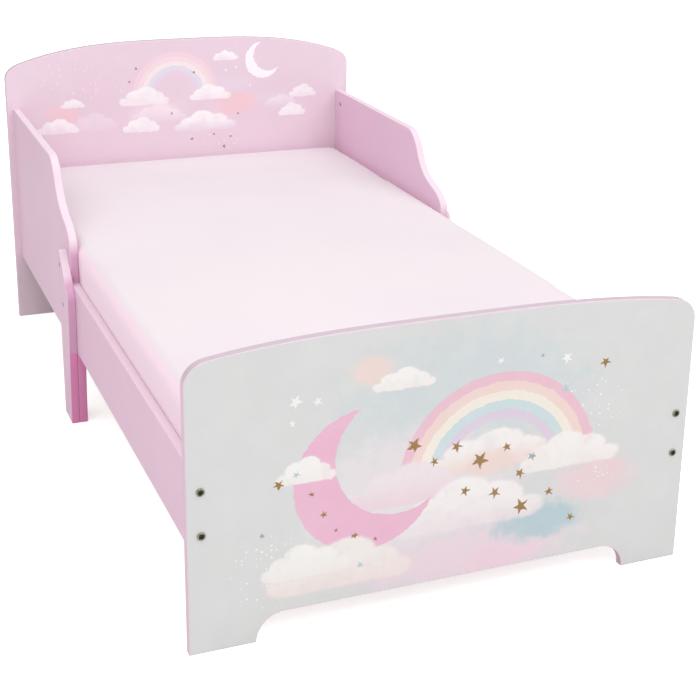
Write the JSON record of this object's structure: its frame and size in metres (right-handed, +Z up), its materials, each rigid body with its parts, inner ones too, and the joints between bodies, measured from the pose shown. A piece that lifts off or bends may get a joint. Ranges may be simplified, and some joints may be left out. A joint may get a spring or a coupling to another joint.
{
  "type": "toddler bed",
  "caption": "Low child's bed with crowned arched-foot headboard and footboard, S-curved guard panels at the head, low side rails, middle legs, slatted base and mattress.",
  "frame": {"origin": "on the floor at the middle of the bed", "axes": "+Z up, +Y towards the headboard, +X to the right as seen from the foot end; the length runs along Y"},
  "size_m": [0.785, 1.4464, 0.605],
  "materials": {
    "painted_board": "pink satin paint on fibreboard",
    "printed_board": "pale grey satin print on fibreboard, pink edges",
    "pine": "planed, unfinished",
    "beech": "fluted, unfinished",
    "webbing": "woven tape",
    "bronzed_steel": "bronzed",
    "zinc_steel": "bright zinc plate",
    "ticking": "quilted cover",
    "cotton": "plain weave, very pale pink"
  },
  "bodies": {
    "frame": {"barrel_nut_foot_left_lower": "zinc_steel", "barrel_nut_foot_left_upper": "zinc_steel", "barrel_nut_foot_right_lower": "zinc_steel", "barrel_nut_foot_right_upper": "zinc_steel", "barrel_nut_head_left_lower": "zinc_steel", "barrel_nut_head_left_upper": "zinc_steel", "barrel_nut_head_right_lower": "zinc_steel", "barrel_nut_head_right_upper": "zinc_steel", "bolt_foot_left_lower": "bronzed_steel", "bolt_foot_left_upper": "bronzed_steel", "bolt_foot_right_lower": "bronzed_steel", "bolt_foot_right_upper": "bronzed_steel", "bolt_head_left_lower": "bronzed_steel", "bolt_head_left_upper": "bronzed_steel", "bolt_head_right_lower": "bronzed_steel", "bolt_head_right_upper": "bronzed_steel", "cleat_screw_left_1": "zinc_steel", "cleat_screw_left_2": "zinc_steel", "cleat_screw_left_3": "zinc_steel", "cleat_screw_right_1": "zinc_steel", "cleat_screw_right_2": "zinc_steel", "cleat_screw_right_3": "zinc_steel", "dowel_foot_left": "beech", "dowel_foot_right": "beech", "dowel_head_left": "beech", "dowel_head_right": "beech", "footboard": "printed_board", "guard_panel_left": "painted_board", "guard_panel_right": "painted_board", "headboard": "painted_board", "leg_block_left": "painted_board", "leg_block_right": "painted_board", "leg_plate_left": "painted_board", "leg_plate_right": "painted_board", "leg_screw_left_lower": "zinc_steel", "leg_screw_left_upper": "zinc_steel", "leg_screw_right_lower": "zinc_steel", "leg_screw_right_upper": "zinc_steel", "side_rail_left": "painted_board", "side_rail_right": "painted_board", "slat_01": "pine", "slat_02": "pine", "slat_03": "pine", "slat_04": "pine", "slat_05": "pine", "slat_06": "pine", "slat_07": "pine", "slat_08": "pine", "slat_09": "pine", "slat_10": "pine", "slat_11": "pine", "slat_12": "pine", "slat_cleat_left": "pine", "slat_cleat_right": "pine", "slat_strap_left": "webbing", "slat_strap_right": "webbing"},
    "bedding": {"mattress": "ticking", "fitted_sheet": "cotton"}
  },
  "joints": [
    {"name": "mattress_lift", "type": "slide", "parent": "frame", "child": "bedding", "axis": [0, 0, 1], "range_m": [0, 0.35]}
  ]
}
